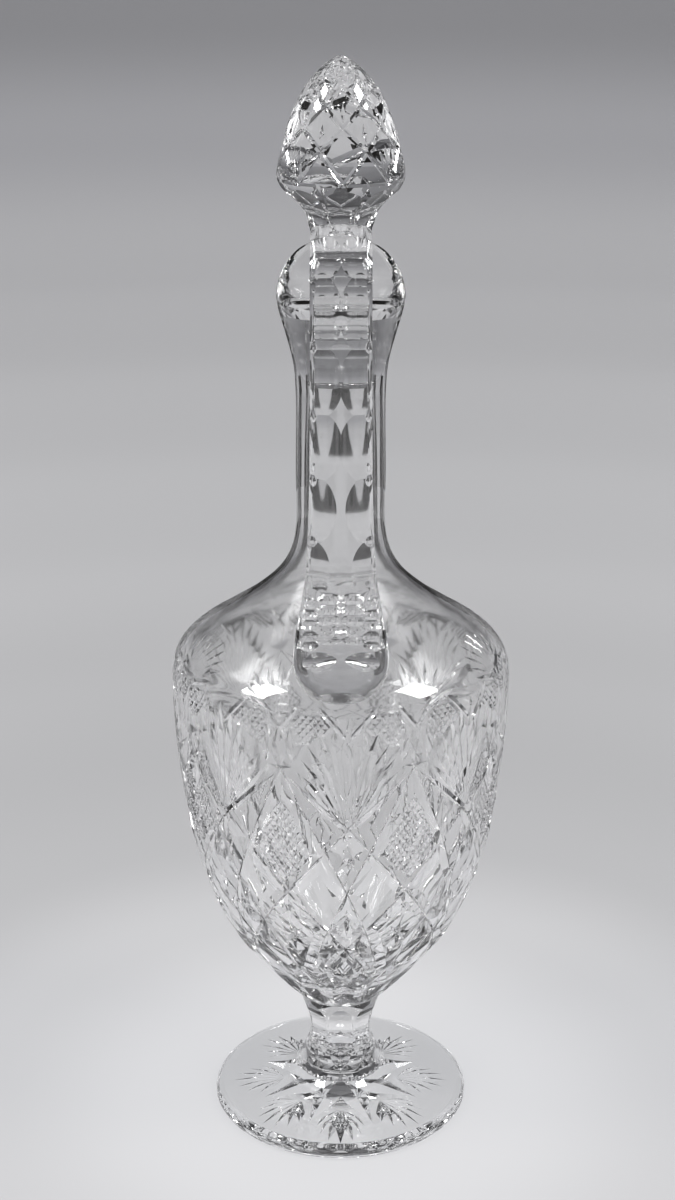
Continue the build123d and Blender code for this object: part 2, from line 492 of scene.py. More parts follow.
def crystal(name, ripple_size=14.0, ripple_height=0.012, softest=0.03, crispest=0.0):
    """Clear lead crystal: near-perfect polish with the slight ripple of hand-made glass.

    Light from the lamps passes almost unchanged, so that the glass throws no dark shadow.
    """
    material = bpy.data.materials.new(name)
    material.use_nodes = True
    nodes, links = material.node_tree.nodes, material.node_tree.links
    glass = nodes["Principled BSDF"]
    glass.inputs["Base Color"].default_value = (1.0, 1.0, 1.0, 1.0)
    glass.inputs["Transmission Weight"].default_value = 1.0
    glass.inputs["IOR"].default_value = CRYSTAL_IOR

    place = nodes.new("ShaderNodeTexCoord")
    ripple = nodes.new("ShaderNodeTexNoise")
    ripple.inputs["Scale"].default_value = 1.0 / (ripple_size * MM)
    ripple.inputs["Detail"].default_value = 1.5
    links.new(place.outputs["Object"], ripple.inputs["Vector"])
    bump = nodes.new("ShaderNodeBump")
    bump.inputs["Strength"].default_value = 1.0
    bump.inputs["Distance"].default_value = ripple_height * MM
    links.new(ripple.outputs["Fac"], bump.inputs["Height"])
    links.new(bump.outputs["Normal"], glass.inputs["Normal"])

    wear = nodes.new("ShaderNodeTexNoise")
    wear.inputs["Scale"].default_value = WEAR_SCALE
    wear.inputs["Detail"].default_value = 3.0
    links.new(place.outputs["Object"], wear.inputs["Vector"])
    polish = nodes.new("ShaderNodeMapRange")
    polish.inputs["From Min"].default_value = WEAR_RANGE[0]
    polish.inputs["From Max"].default_value = WEAR_RANGE[1]
    polish.inputs["To Min"].default_value = crispest
    polish.inputs["To Max"].default_value = softest
    links.new(wear.outputs["Fac"], polish.inputs["Value"])
    links.new(polish.outputs["Result"], glass.inputs["Roughness"])

    rays = nodes.new("ShaderNodeLightPath")
    clear = nodes.new("ShaderNodeBsdfTransparent")
    clear.inputs["Color"].default_value = SHADOW_TINT
    mix = nodes.new("ShaderNodeMixShader")
    links.new(rays.outputs["Is Shadow Ray"], mix.inputs["Fac"])
    links.new(glass.outputs["BSDF"], mix.inputs[1])
    links.new(clear.outputs["BSDF"], mix.inputs[2])
    links.new(mix.outputs["Shader"], nodes["Material Output"].inputs["Surface"])
    return material


# ---- foot ----

FOOT_TABLE = FOOT_RADIUS - 3.0  # where the domed top meets the rounded edge
FOOT_REST = FOOT_RADIUS - 2.0  # outer edge of the flat underside
FOOT_EDGE = 5.0
FOOT_BOSS = 15.0
STAR_START, STAR_END = 1.0, 30.0


def foot_cuts():
    """Under the foot: a big star from the middle, and a leaf fan between its arms."""
    start, end = ((r * math.sin(HALF_SECTOR), r * math.cos(HALF_SECTOR)) for r in (STAR_START, STAR_END))
    cuts = [groove(start, end, width=8.6, depth=1.9, start_tip=1.0, end_tip=15.0)]
    angles = (0, 13, -13, 26, -26, 40, -40)
    lengths = (21.0, 19.5, 19.5, 17.0, 17.0, 13.5, 13.5)
    cuts += fan((0.0, 19.5), angles, lengths, width=3.1, depth=1.35, gap=0.8, root=0.55, tip=0.4)
    return cuts


def foot(material):
    xs = spaced(0.0, HALF_SECTOR, HALF_SECTOR / COLUMNS)
    rings = spaced(0.0, FOOT_REST, 1.5)
    cells = []
    for a, b in zip(xs, xs[1:]):
        for c, d in zip(rings, rings[1:]):
            cell = [(r * math.sin(t), r * math.cos(t)) for t, r in ((a, c), (a, d), (b, d), (b, c))]
            cells.append((cell if c > 0 else cell[:3], PLAIN))
    cuts = foot_cuts()
    corners, faces = welded(cut_sheet(cells, cuts + mirrored(cuts)))
    placed = [(math.atan2(x, y), math.hypot(x, y), depth) for x, y, depth in corners]
    shell = Shell()
    shell.add_sectors(placed, faces)
    edge = Outline([(FOOT_REST, 0.0), (FOOT_RADIUS - 0.6, 0.7), (FOOT_RADIUS, 2.3),
                    (FOOT_RADIUS - 0.9, 4.1), (FOOT_TABLE, FOOT_EDGE)])
    dome = Outline([(FOOT_TABLE, FOOT_EDGE), (34, 5.8), (24, 7.4), (18, 9.6), (FOOT_BOSS, FOOT_TOP)])
    line = [edge.at(run) for run in spaced(0, edge.length, 0.7)]
    line += [dome.at(run) for run in spaced(0, dome.length, 1.5)[1:]]
    shell.add_rows([ring(r, z) for r, z in line] + lid(FOOT_BOSS, FOOT_TOP)[1:])
    return shell.piece("crystal_foot", material)


# ---- stem ----

STEM_RING = 16.0
STEM_FLARE = 14.3  # radius where the waisted stem meets its ring, at height STEM_FOOT
STEM_FOOT = 17.2
STEM_WIDTH_RADIUS = 12.0  # the facets' width round the axis is measured here
STEM_END = 15.4  # radius of the joint between stem and vessel


def stem(material):
    """Eight hollow facets round a waisted stem, over a round ring with notches in its edge."""
    low, high = FOOT_TOP - CONTACT, STEM_TOP + CONTACT
    blank = Outline([(STEM_FLARE, STEM_FOOT), (12.5, 21.5), (11.75, 26), (11.7, 30), (12.3, 34),
                     (13.5, 38.5), (STEM_END, high)])
    half_width = HALF_SECTOR * STEM_WIDTH_RADIUS
    waist = blank.run_at_height(29.6)
    facets = [hollow(x, waist, half_x=4.95, half_y=12.6, depth=1.0) for x in (0.0, 2 * half_width)]
    cells = grid(spaced(0, half_width, half_width / COLUMNS), hemmed(spaced(0, blank.length, 0.9)))
    corners, faces = welded(cut_sheet(cells, facets))
    shell = Shell()
    shell.add_sectors(wrapped(corners, blank, STEM_WIDTH_RADIUS), faces)

    base = Outline([(FOOT_BOSS, low), (STEM_RING - 0.1, 12.5), (STEM_RING, 13.6),
                    (STEM_RING - 0.5, 14.8), (15.0, 15.6), (STEM_FLARE, STEM_FOOT)])
    half_width = HALF_SECTOR * STEM_RING
    notches = [hollow(x, 1.6, half_x=1.25, half_y=1.5, depth=0.42)
               for x in (0.0, half_width, half_width / 2)]
    cells = grid(spaced(0, half_width, half_width / COLUMNS), hemmed(spaced(0, base.length, 0.35)))
    corners, faces = welded(cut_sheet(cells, notches))
    shell.add_sectors(wrapped(corners, base, STEM_RING), faces)
    shell.add_rows(lid(FOOT_BOSS, low)[::-1])
    shell.add_rows(lid(STEM_END, high))
    return shell.piece("crystal_stem", material)


# ---- vessel ----

PATTERN_TURN = math.radians(2.4)  # the cutting stands slightly turned from the handle
PATTERN_RADIUS = 57.0  # the sheet's width round the axis is measured here
NECK_CUT_END = 205.0  # above this height the glass is plain
SEAT_FOOT = (11.0, 272.0)  # the ground taper that holds the plug, as (radius, height)
SEAT_TOP = (12.0, 298.0)
OUTSIDE = Outline([
    (STEM_END, STEM_TOP), (20.4, 49), (25.7, 55), (31.5, 62), (37.6, 70), (43.4, 80), (48.3, 92), (52.4, 105),
    (55.3, 120), (57.2, 135), (58.5, 150), (BODY_RADIUS, 163), (BODY_RADIUS, 171), (58.2, 177.5), (55.2, 182),
    (50.6, 186), (41.4, 192), (31.0, 199), (22.1, 207), (17.6, 214), (15.6, 222), (15.3, 245), (15.2, 272),
    (16.0, 281), (18.4, 290.5), (20.8, 299), (21.8, 305), (22.8, 311), (24.0, 320),
])
INSIDE = Outline([
    (0.0, 53), (9.0, 55), (20.0, 63), (29.0, 72.5), (37.0, 83), (42.6, 94), (46.9, 107), (49.8, 121),
    (51.8, 136), (53.2, 151), (54.2, 163), (54.4, 170), (53.8, 175.5), (51.0, 180.4), (44.8, 185.8),
    (35.0, 192.7), (26.0, 199.5), (18.8, 206.8), (14.7, 213.8), (12.5, 223), (12.0, 235), (11.7, 254),
    SEAT_FOOT,
])
LIP_INSIDE = Outline([SEAT_TOP, (14.4, 301), (18.0, 305), (19.9, 310), (21.4, 320)])
LIP_START = 284.0
RIM_LINE = smooth_line([(-30, 304.6), (-20, 304), (-8, 301.3), (1, 303.2), (11, 309.2), (19, 315.4),
                        (24, LIP_TOP), (30, LIP_TOP)])


def rim_height(y):
    """Height of the rim seen from the side; it rises from the handle to the pouring lip."""
    for a, b in zip(RIM_LINE, RIM_LINE[1:]):
        if y <= b[0]:
            return a[1] + (b[1] - a[1]) * (y - a[0]) / (b[0] - a[0])
    return RIM_LINE[-1][1]


def rim_at(angle, outline):
    """The height at which the rim cuts an outline of the lip, at this angle round the glass."""
    height = 306.0              # a first guess, which the loop brings to the rim
    for _ in range(8):
        radius = outline.at(outline.run_at_height(height))[0]
        height = rim_height(-radius * math.cos(angle))
    return height


def on_body(degrees, height):
    """A place on the vessel's sheet from its angle and height."""
    return math.radians(degrees) * PATTERN_RADIUS, OUTSIDE.run_at_height(height)


def chain(places, width, depth, tip):
    """A long mitre through several places, as grooves that overlap where it bends."""
    points = [on_body(*place) for place in places]
    return [crossing_groove(a, b, width, depth, tip) for a, b in zip(points, points[1:])]


# Lines of the lattice as (degrees, height). Only grooves within REACH can cut the half sector.
FLAT_MITRE = [(-22.5, 156.1), (0, 135), (22.5, 108.5), (45, 83), (54, 73)]
STEEP_MITRE = [(-22.5, 156.1), (0, 108.7), (8, 91.2), (16.5, 72)]
REACH = (-6.0, 28.5)


def round_the_glass(line, width, depth, tip):
    """Grooves along each turned or mirrored copy of a line, where they reach the half sector."""
    cuts = []
    for turn in range(-135, 136, 45):
        for side in (-1, 1):
            for start, end in zip(line, line[1:]):
                pair = [(side * d + turn, z) for d, z in (start, end)]
                if max(d for d, _ in pair) > REACH[0] and min(d for d, _ in pair) < REACH[1]:
                    cuts += chain(pair, width, depth, tip)
    return cuts


def lattice():
    """Each line is a crisp mitre along the bottom of a wide, shallow one, which leaves facets beside it."""
    return (round_the_glass(FLAT_MITRE[1:], width=7.0, depth=1.0, tip=2.2)
            + round_the_glass(FLAT_MITRE, width=2.3, depth=1.45, tip=1.4)
            + round_the_glass(STEEP_MITRE, width=10.0, depth=1.75, tip=2.6)
            + round_the_glass(STEEP_MITRE, width=2.5, depth=2.1, tip=1.4))


def hobnail(edge, angle, pitch, depth):
    """Small points left by two crossing sets of fine cuts, inside an edge given as (degrees, height)."""
    region = [on_body(*place) for place in edge]
    return hatching(region, angle, pitch, depth) + hatching(region, -angle, pitch, depth)


def almonds():
    """Fine hobnail inside the almond between the steep lines."""
    edge = ((22.5, 149), (12.5, 127.5), (13.5, 121.5), (22.5, 113.5), (31.5, 121.5), (32.5, 127.5))
    return hobnail(edge, angle=52.0, pitch=2.15, depth=0.75)


def long_rays():
    """The fan of long narrow rays that rises from each crossing, with a bell-shaped top."""
    angles = (0, 7.5, 15, 22.5, 30, 37.5)
    lengths = (42, 41, 38.5, 34.5, 30.5, 27)
    return fan(on_body(0, 135), angles, lengths, width=3.3, depth=1.15, gap=2.5, root=0.7, tip=0.25)


def small_stars():
    """Little stars and side cuts in the diamonds of the lower lattice."""
    angles, lengths = range(0, 360, 45), (8.5, 6.5, 5.5, 6.5, 8.0, 6.5, 5.5, 6.5)
    cuts = fan(on_body(22.5, 89.5), angles, lengths, width=2.8, depth=1.5, gap=0.0, root=0.2, tip=0.8)
    for height, lengths, width, depth in ((122.5, (7.0, 8.5), 3.6, 1.4), (99.5, (6.0, 9.0), 3.2, 1.5)):
        cuts += fan(on_body(0, height), (0, 180), lengths, width, depth, gap=0.0, root=0.2, tip=0.8)
    cuts += fan(on_body(22.5, 104.5), (180, 152, 208), (10.0, 7.0, 7.0), width=2.4, depth=1.2, gap=0.5,
                root=0.3, tip=0.6)
    return cuts


def base_rays():
    """Broad rays that rise from the stem between the ends of the lattice."""
    return [groove(on_body(degrees, 45.8), on_body(degrees, 70.0), width=17.0, depth=1.6,
                   start_tip=6.0, end_tip=14.0) for degrees in (0.0, 22.5)]


def shoulder_band():
    """Short upright leaves over each almond, and the chevron of fine diamonds between them."""
    cuts = [groove(on_body(22.5, 157.5), on_body(22.5, 173.5), width=4.4, depth=1.5,
                   start_tip=4.0, end_tip=7.0)]
    for side in (-1, 1):
        start, end = on_body(22.5 + side * 4.6, 159.0), on_body(22.5 + side * 3.6, 172.5)
        cuts.append(groove(start, end, width=3.0, depth=1.2, start_tip=3.5, end_tip=5.0))
    edge = ((4.5, 172.5), (9, 177.0), (17.0, 177.0), (19.5, 169), (15.5, 165.5), (9, 169.5))
    cuts += hobnail(edge, angle=50.0, pitch=1.9, depth=0.5)
    cuts += chain([(1.5, 170.0), (8.5, 178.0)], width=1.8, depth=0.8, tip=2.5)
    cuts += chain([(22.0, 172.0), (17.5, 178.0)], width=1.6, depth=0.7, tip=2.0)
    return cuts


def shoulder_fan(both_halves):
    """Leaves that spread over the shoulder from a point. One half of the fan can be left out."""
    apex = on_body(22.5, 176.0)
    angles, lengths = (0, 16, 32, 47, 61), (20.0, 21.0, 21.0, 20.0, 18.0)
    cuts = []
    for side in (1, -1) if both_halves else (1,):
        first = 0 if side > 0 else 1  # the upright leaf is cut only once
        turned = [side * angle for angle in angles[first:]]
        cuts += fan(apex, turned, lengths[first:], width=1.4, depth=0.4, gap=10.5, root=0.5, tip=0.5)
        cuts += fan(apex, (side * 73,), (17.0,), width=2.2, depth=1.0, gap=1.0, root=0.3, tip=0.3)
    return cuts


def body_cuts(both_halves):
    """The vessel's cutting round the middle of one sector, on its +x side. The other side is its mirror."""
    return (almonds() + long_rays() + small_stars() + base_rays() + shoulder_band()
            + shoulder_fan(both_halves))


def body_sector(both_halves):
    """A half sector of the vessel's outer wall. Its rows are closest where the shoulder bends most."""
    rows = [0.0]
    for height, step in ((168, 2.6), (184, 1.3), (NECK_CUT_END, 2.0)):
        rows += spaced(rows[-1], OUTSIDE.run_at_height(height), step)[1:]
    half_width = HALF_SECTOR * PATTERN_RADIUS
    cells = grid(spaced(0, half_width, half_width / COLUMNS), hemmed(rows))
    cuts = body_cuts(both_halves)
    corners, faces = welded(cut_sheet(cells, lattice() + cuts + mirrored(cuts)))
    return wrapped(corners, OUTSIDE, PATTERN_RADIUS), faces


def lip_rows(outline, start, count):
    """Rings of a lip that end on the slanting rim."""
    angles = [PATTERN_TURN + 2 * math.pi * k / AROUND for k in range(AROUND)]
    rims = [rim_at(angle, outline) for angle in angles]
    rows = []
    for i in range(count + 1):
        row = []
        for angle, rim in zip(angles, rims):
            height = start + (rim - start) * i / count
            row.append(ring_point(angle, outline.at(outline.run_at_height(height))[0], height))
        rows.append(row)
    return rows


RIM_BULGES = 6  # rows across the rounded rim
RIM_ROUNDNESS = 0.8  # how high the rim's round stands, as a share of half its width


def rounded_rim(outer, inner):
    """Rows that round the rim over between the two walls of the lip."""
    rows = []
    for i in range(1, RIM_BULGES):
        turn = math.pi * i / RIM_BULGES
        row = []
        for a, b in zip(outer, inner):
            middle, half = (Vector(a) + Vector(b)) / 2, (Vector(a) - Vector(b)) / 2
            rise = Vector((0, 0, half.length * math.sin(turn) * RIM_ROUNDNESS))
            row.append(tuple(middle + half * math.cos(turn) + rise))
        rows.append(row)
    return rows


def vessel(material):
    """The outer wall with its cutting, the neck, the lip, the seat and the inner wall."""
    shell = Shell()
    under_handle = body_sector(both_halves=False)
    shell.add_sectors(*body_sector(both_halves=True), turn=PATTERN_TURN, variants=under_handle)
    neck_start = OUTSIDE.run_at_height(NECK_CUT_END)
    neck_end = OUTSIDE.run_at_height(LIP_START)
    outer = [ring(*OUTSIDE.at(run), PATTERN_TURN) for run in spaced(neck_start, neck_end, 2.0)]
    outer_lip = lip_rows(OUTSIDE, LIP_START, 14)
    inner_lip = lip_rows(LIP_INSIDE, SEAT_TOP[1], 12)
    rim = rounded_rim(outer_lip[-1], inner_lip[-1])
    seat = [ring(*SEAT_FOOT, PATTERN_TURN)]
    inner = [ring(*INSIDE.at(run), PATTERN_TURN) for run in reversed(spaced(0, INSIDE.length, 2.2))]
    shell.add_rows(outer[:-1] + outer_lip + rim + inner_lip[::-1] + seat + inner)
    shell.add_rows(lid(STEM_END, STEM_TOP, PATTERN_TURN))
    made = shell.piece("crystal_vessel", material)
    made.data.materials.append(crystal("crystal_inside", 22.0, 0.03, softest=0.12, crispest=0.085))
    for face in made.data.polygons:
        face.material_index = int(is_inside(face.center / MM))
    return made


SOFT_FROM = 150.0  # the inner wall is less crisp above this height
ON_WALL = 0.3  # faces this near to the inner outline are on the inner wall


def is_inside(point):
    """Whether a place on the vessel is on the blown inner wall of its shoulder or neck."""
    radius, height = math.hypot(point.x, point.y), point.z
    if height < SOFT_FROM or height > SEAT_FOOT[1]:
        return False
    run = INSIDE.run_at_height(height)
    return abs(INSIDE.at(run)[0] - radius) < ON_WALL


# ---- handle ----
# Stations along the strap: (y, z, half thickness, half width, power of the cross section).

STRAP = Outline([
    (-15.0, 293.5, 6.6, 8.4, 3.4), (-20.6, 301.0, 6.2, 8.9, 3.6), (-24.0, 313.5, 5.5, 9.3, 4.0),
    (-30.6, HANDLE_TOP - 7.6, 5.3, 9.5, 4.4), (-39.0, HANDLE_TOP - 6.0, 5.2, 9.6, 4.8),
    (-46.8, 318.8, 5.2, 9.6, 5.0), (-50.6, 304.5, 5.1, 9.6, 5.0), (-51.4, 283.0, 5.1, 9.7, 5.0),
    (-48.7, 258.0, 5.0, 10.0, 5.0), (-44.2, 236.0, 4.9, 10.6, 4.8), (-41.0, 219.0, 5.0, 11.6, 4.0),
    (-40.9, 207.5, 6.6, 13.4, 3.0), (-44.2, 197.4, 8.2, 15.2, 2.3), (-48.6, 191.2, 8.4, 15.5, 2.0),
    (-52.6, 187.4, 7.4, 14.2, 2.0), (-56.2, 184.4, 5.4, 10.8, 2.0), (-58.5, 182.4, 2.8, 6.0, 2.0),
    (-59.3, 181.8, 0.3, 0.7, 2.0),
])
STRAP_WIDTH = 14.6  # the sheet runs this far each way from the middle of the back
CORNER = 9.7  # the sheet's x at the corner between back and side
HOLLOW_DEPTH = 1.35
PAD_TOP = 213.0  # height of the first crimps


def strap_point(share, run, side, depth=0.0):
    """A point of the handle: side is 1 on its back and -1 on the finger side.

    Share goes from 0 in the middle of that side to 1 in the middle of the strap's edge. The cross section
    is a superellipse whose power changes along the strap, from a flat bar to a round pad.
    """
    y, z, thick, wide, power = STRAP.at(run)
    ny, nz = STRAP.normal(run)
    girth = abs(share) * (wide + thick)
    across, out = min(girth / wide, 1.0), min(max(1.0 - (girth - wide) / thick, 0.0), 1.0)
    size = (across ** power + out ** power) ** (1 / power)
    across, out = across / size, out / size
    slope_x, slope_n = across ** (power - 1) / wide, out ** (power - 1) / thick
    steep = math.hypot(slope_x, slope_n) or 1.0
    x = math.copysign(across * wide - depth * slope_x / steep, share)
    n = (out * thick - depth * slope_n / steep) * side
    return x, y + n * ny, z + n * nz


def strap_run(height):
    """The run at which the strap's middle comes down to a height, past the top of its arch."""
    return sum(closed_in(STRAP.length * 0.3, STRAP.length, lambda run: STRAP.at(run)[1] > height)) / 2


def sheet_x(across, run):
    """The sheet's x for a distance across the strap, in millimetres."""
    if across < 0:
        return -sheet_x(-across, run)
    share, _ = closed_in(0.0, 1.0, lambda share: strap_point(share, run, 1)[0] < across, halvings=24)
    return share * STRAP_WIDTH


def strap_hollow(across, run, half_across, half_run, depth):
    """A hollow whose place and width are given in millimetres across the strap."""
    left, right = sheet_x(across - half_across, run), sheet_x(across + half_across, run)
    return hollow((left + right) / 2, run, (right - left) / 2, half_run, depth)


def handle_cuts():
    """Hollows down the back, notched edges and the pad's crimps, on the +x side. The other is its mirror."""
    cuts = []
    for height, across, half, half_run in (
        (306.9, 4.6, 5.2, 11.2),
        (287.0, 4.6, 5.2, 11.2),
        (266.5, 4.7, 5.2, 11.4),
        (244.9, 5.9, 4.5, 12.0),
        (222.5, 7.6, 4.2, 12.0),
    ):
        cuts.append(strap_hollow(across, strap_run(height), half, half_run, HOLLOW_DEPTH))
    arch = strap_run(306.9) - 20.0
    cuts.append(strap_hollow(4.6, arch + 4.6, 5.2, 6.4, HOLLOW_DEPTH))
    cuts.append(strap_hollow(6.2, arch - 3.0, 2.8, 2.6, 0.9))
    cuts.append(strap_hollow(0.0, arch - 3.6, 3.0, 2.4, 0.9))
    run = arch - 3.0
    while run < strap_run(PAD_TOP - 1.0):
        cuts.append(hollow(CORNER, run, half_x=2.3, half_y=2.9, depth=0.9))
        run += 5.4
    for i in range(5):
        run = strap_run(PAD_TOP) + 4.3 * i
        cuts.append(strap_hollow(3.9, run, 4.0, 2.4, 1.3))
        cuts.append(strap_hollow(10.2, run + 2.1, 3.0, 2.3, 1.2))
    cuts.append(strap_hollow(7.0, strap_run(PAD_TOP) + 26.0, 5.6, 3.8, 1.5))
    return cuts


def seated(point):
    """The point itself, or if it is inside the vessel, the place just under the vessel's surface."""
    x, y, z = point
    radius = math.hypot(x, y)
    run = OUTSIDE.run_at_height(z)
    nearest = min((run + d * 0.8 for d in range(-14, 15)),
                  key=lambda r: math.dist(OUTSIDE.at(r)[:2], (radius, z)))
    (r, h), (nr, nz) = OUTSIDE.at(nearest)[:2], OUTSIDE.normal(nearest)
    buried = -((radius - r) * nr + (z - h) * nz)
    if buried <= CONTACT:
        return point
    lift = buried - CONTACT
    scale = (radius + lift * nr) / radius
    return x * scale, y * scale, z + lift * nz


def handle(material):
    columns = [*spaced(0, STRAP_WIDTH, 0.8)[:-1], STRAP_WIDTH - 0.12, STRAP_WIDTH]
    runs = hemmed(spaced(0, STRAP.length, 0.9))
    cuts = handle_cuts()
    corners, faces = welded(cut_sheet(grid(columns, runs), cuts + mirrored(cuts)))
    shell = Shell()
    for side in (1, -1):
        points = [seated(strap_point(side * x / STRAP_WIDTH, y, 1, depth)) for x, y, depth in corners]
        shell.add(points, faces, flip=side < 0)
    columns = [-x for x in reversed(columns[1:])] + columns
    points = [seated(strap_point(x / STRAP_WIDTH, run, -1)) for run in runs for x in columns]
    n = len(columns)
    shell.add(points, [[i * n + k, i * n + k + 1, (i + 1) * n + k + 1, (i + 1) * n + k]
                       for i in range(len(runs) - 1) for k in range(n - 1)])
    for run in (runs[0], runs[-1]):
        back = [seated(strap_point(x / STRAP_WIDTH, run, 1)) for x in columns]
        front = [seated(strap_point(x / STRAP_WIDTH, run, -1)) for x in columns]
        shell.add(back + front, [[k, k + 1, n + k + 1, n + k] for k in range(n - 1)])
    return shell.piece("crystal_handle", material, sharp=13.0)


# ---- stopper ----

FINIAL = Outline([
    (10.3, 325.5), (12.4, 330.0), (16.2, 334.6), (19.4, 338.4), (STOPPER_RADIUS, 341.6),
    (STOPPER_RADIUS - 0.05, 344), (19.9, 349), (18.3, 355), (16.3, 361), (13.6, 367), (10.4, 372),
    (6.2, 376.4), (2.2, 379.2), (0.0, STOPPER_TOP),
])
FINIAL_RADIUS = 19.0  # the sheet's width round the axis is measured here
FINIAL_LINE = [(0, 341.6), (22.5, 351.9), (45, 358.6), (67.5, 365.2), (90, 371.0)]
FINIAL_REACH = (-4.0, 12.0)  # grooves between these x can reach the half sector
FANLESS = (0, 2, 4, 6)  # sectors with no fan at the widest edge


def on_finial(degrees, height):
    return math.radians(degrees) * FINIAL_RADIUS, FINIAL.run_at_height(height)


def finial_lattice():
    """Thin mitres that climb round the finial and cross."""
    cuts = []
    for turn in (-135, -90, -45, 0, 45):
        points = [on_finial(degrees + turn, z) for degrees, z in FINIAL_LINE]
        for a, b in zip(points, points[1:]):
            if max(a[0], b[0]) > FINIAL_REACH[0] and min(a[0], b[0]) < FINIAL_REACH[1]:
                cuts.append(crossing_groove(a, b, width=1.8, depth=0.7, tip=1.0))
    return cuts


def stopper_cuts(fanned):
    """The lattice and its leaves, flats at the tip, and hollow facets and mitres under the widest edge."""
    cuts = finial_lattice()
    if fanned:
        cuts += fan(on_finial(0, 341.8), (0, 14, 28), (12.0, 11.0, 9.5), width=1.7, depth=0.7, gap=1.0,
                    root=0.5, tip=0.35)
    for degrees, height, length, gap in ((22.5, 353.0, 7.5, 0.8), (0, 360.0, 7.0, 0.5)):
        cuts += fan(on_finial(degrees, height), (0,), (length,), width=1.8, depth=0.6, gap=gap,
                    root=0.4, tip=0.5)
    cuts.append(groove(on_finial(0, 371.5), on_finial(0, 378.6), width=6.5, depth=0.6,
                       start_tip=2.0, end_tip=4.0))
    low = FINIAL.run_at_height(333.0)
    for x in (0.0, 2 * HALF_SECTOR * FINIAL_RADIUS):
        cuts.append(hollow(x, low, half_x=8.6, half_y=low - 0.4, depth=1.7))
    cuts.append(groove(on_finial(22.5, 327.0), on_finial(22.5, 340.5), width=4.5, depth=1.1,
                       start_tip=4.0, end_tip=4.0))
    return cuts


def stopper_sector(fanned):
    half_width = HALF_SECTOR * FINIAL_RADIUS
    cells = grid(spaced(0, half_width, half_width / COLUMNS), hemmed(spaced(0, FINIAL.length, 1.1)))
    cuts = stopper_cuts(fanned)
    corners, faces = welded(cut_sheet(cells, cuts + mirrored(cuts)))
    return wrapped(corners, FINIAL, FINIAL_RADIUS), faces


def stopper(material):
    shell = Shell()
    plain = stopper_sector(fanned=False)
    shell.add_sectors(*stopper_sector(fanned=True), turn=PATTERN_TURN, variants=plain, varied=FANLESS)
    plug = [(0.0, PLUG_BOTTOM), (5.4, PLUG_BOTTOM), (10.5, PLUG_BOTTOM), (11.0, PLUG_BOTTOM + 0.5),
            (11.9, 297.6), (11.6, 298.6), (10.6, 299.6)]
    shank = Outline([(10.6, 299.6), (9.5, 306), (9.2, 313), (9.4, 320), (10.3, 325.5)])
    line = plug + [shank.at(run) for run in spaced(0, shank.length, 1.2)[1:]]
    shell.add_rows([ring(r, z, PATTERN_TURN) for r, z in line])
    return shell.piece("crystal_stopper", material)


# ---- room, lights and camera ----

def stage_material(name, shade):
    material = bpy.data.materials.new(name)
    material.use_nodes = True
    nodes, links = material.node_tree.nodes, material.node_tree.links
    nodes.clear()
    shade(nodes, links, nodes.new("ShaderNodeOutputMaterial"))
    return material


# Painted light and shade on the studio paper, in metres: (distance from the middle, tone) and (height, share
# of that tone).
# The floor is painted pale round the foot as a pool of light, darker in a ring round the decanter as painted
# shade, and paler again far out to make up for the fall of the lamps' light. The wall is painted darker
# towards its top as shade.
PAINTED_FLOOR_LIGHT_AND_SHADE = [(0.06, 0.62), (0.14, 0.53), (0.22, 0.445), (0.31, 0.435), (0.45, 0.47), (0.65, 0.54),
               (0.92, 0.61), (1.25, 0.70), (1.70, 0.84)]
PAINTED_WALL_SHADE = [(0.0, 1.0), (0.12, 0.78), (0.26, 0.56), (0.6, 0.42), (1.32, 0.12)]
COOLNESS = 1.02  # how much bluer than grey the paper is


def painted_light_ramp(nodes, links, distance, reach, painted_stops):
    """Painted light and shade: shades of grey that follow a distance in metres."""
    share = nodes.new("ShaderNodeMapRange")
    share.inputs["From Max"].default_value = reach
    links.new(distance, share.inputs["Value"])
    ramp = nodes.new("ShaderNodeValToRGB")
    ramp.color_ramp.interpolation = "EASE"
    stops = ramp.color_ramp.elements
    while len(stops) < len(painted_stops):
        stops.new(0.5)
    for stop, (place, tone) in zip(stops, painted_stops):
        stop.position = place / reach
        stop.color = (tone, tone, min(1.0, tone * COOLNESS), 1)
    links.new(share.outputs["Result"], ramp.inputs["Fac"])
    return ramp.outputs["Color"]


def sweep_material():
    """Matt paper with painted light and shade: pale round the foot as a painted pool of light, a darker ring
    of painted shade round the decanter, paler far out, and painted shade at the top of the wall.
    """
    def shade(nodes, links, output):
        place = nodes.new("ShaderNodeTexCoord")
        parts = nodes.new("ShaderNodeSeparateXYZ")
        links.new(place.outputs["Object"], parts.inputs["Vector"])
        flat = nodes.new("ShaderNodeCombineXYZ")
        links.new(parts.outputs["X"], flat.inputs["X"])
        links.new(parts.outputs["Y"], flat.inputs["Y"])
        length = nodes.new("ShaderNodeVectorMath")
        length.operation = "LENGTH"
        links.new(flat.outputs["Vector"], length.inputs[0])
        mix = nodes.new("ShaderNodeMix")
        mix.data_type = "RGBA"
        mix.blend_type = "MULTIPLY"
        factor, first, second = (mix.inputs[i] for i in (0, 6, 7))
        factor.default_value = 1.0
        # painted light and shade on the floor, by distance from the middle
        links.new(painted_light_ramp(nodes, links, length.outputs["Value"], ROOM_RADIUS, PAINTED_FLOOR_LIGHT_AND_SHADE), first)
        # painted shade: the paper is darker towards the top of the wall
        links.new(painted_light_ramp(nodes, links, parts.outputs["Z"], ROOM_HEIGHT, PAINTED_WALL_SHADE), second)
        paper = nodes.new("ShaderNodeBsdfDiffuse")
        links.new(mix.outputs[2], paper.inputs["Color"])
        links.new(paper.outputs["BSDF"], output.inputs["Surface"])
    return stage_material("studio_paper_painted_light", shade)


CARD_RADIUS = 0.80
CARD_HEIGHT = 0.21
CARD_LIFT = 0.002
CARD_FOOT = math.radians(16.0)  # half the turn that a card covers at the floor
CARD_TOP = math.radians(8.0)  # and at its top
CARD_COLOUR = (0.012, 0.011, 0.010, 1)


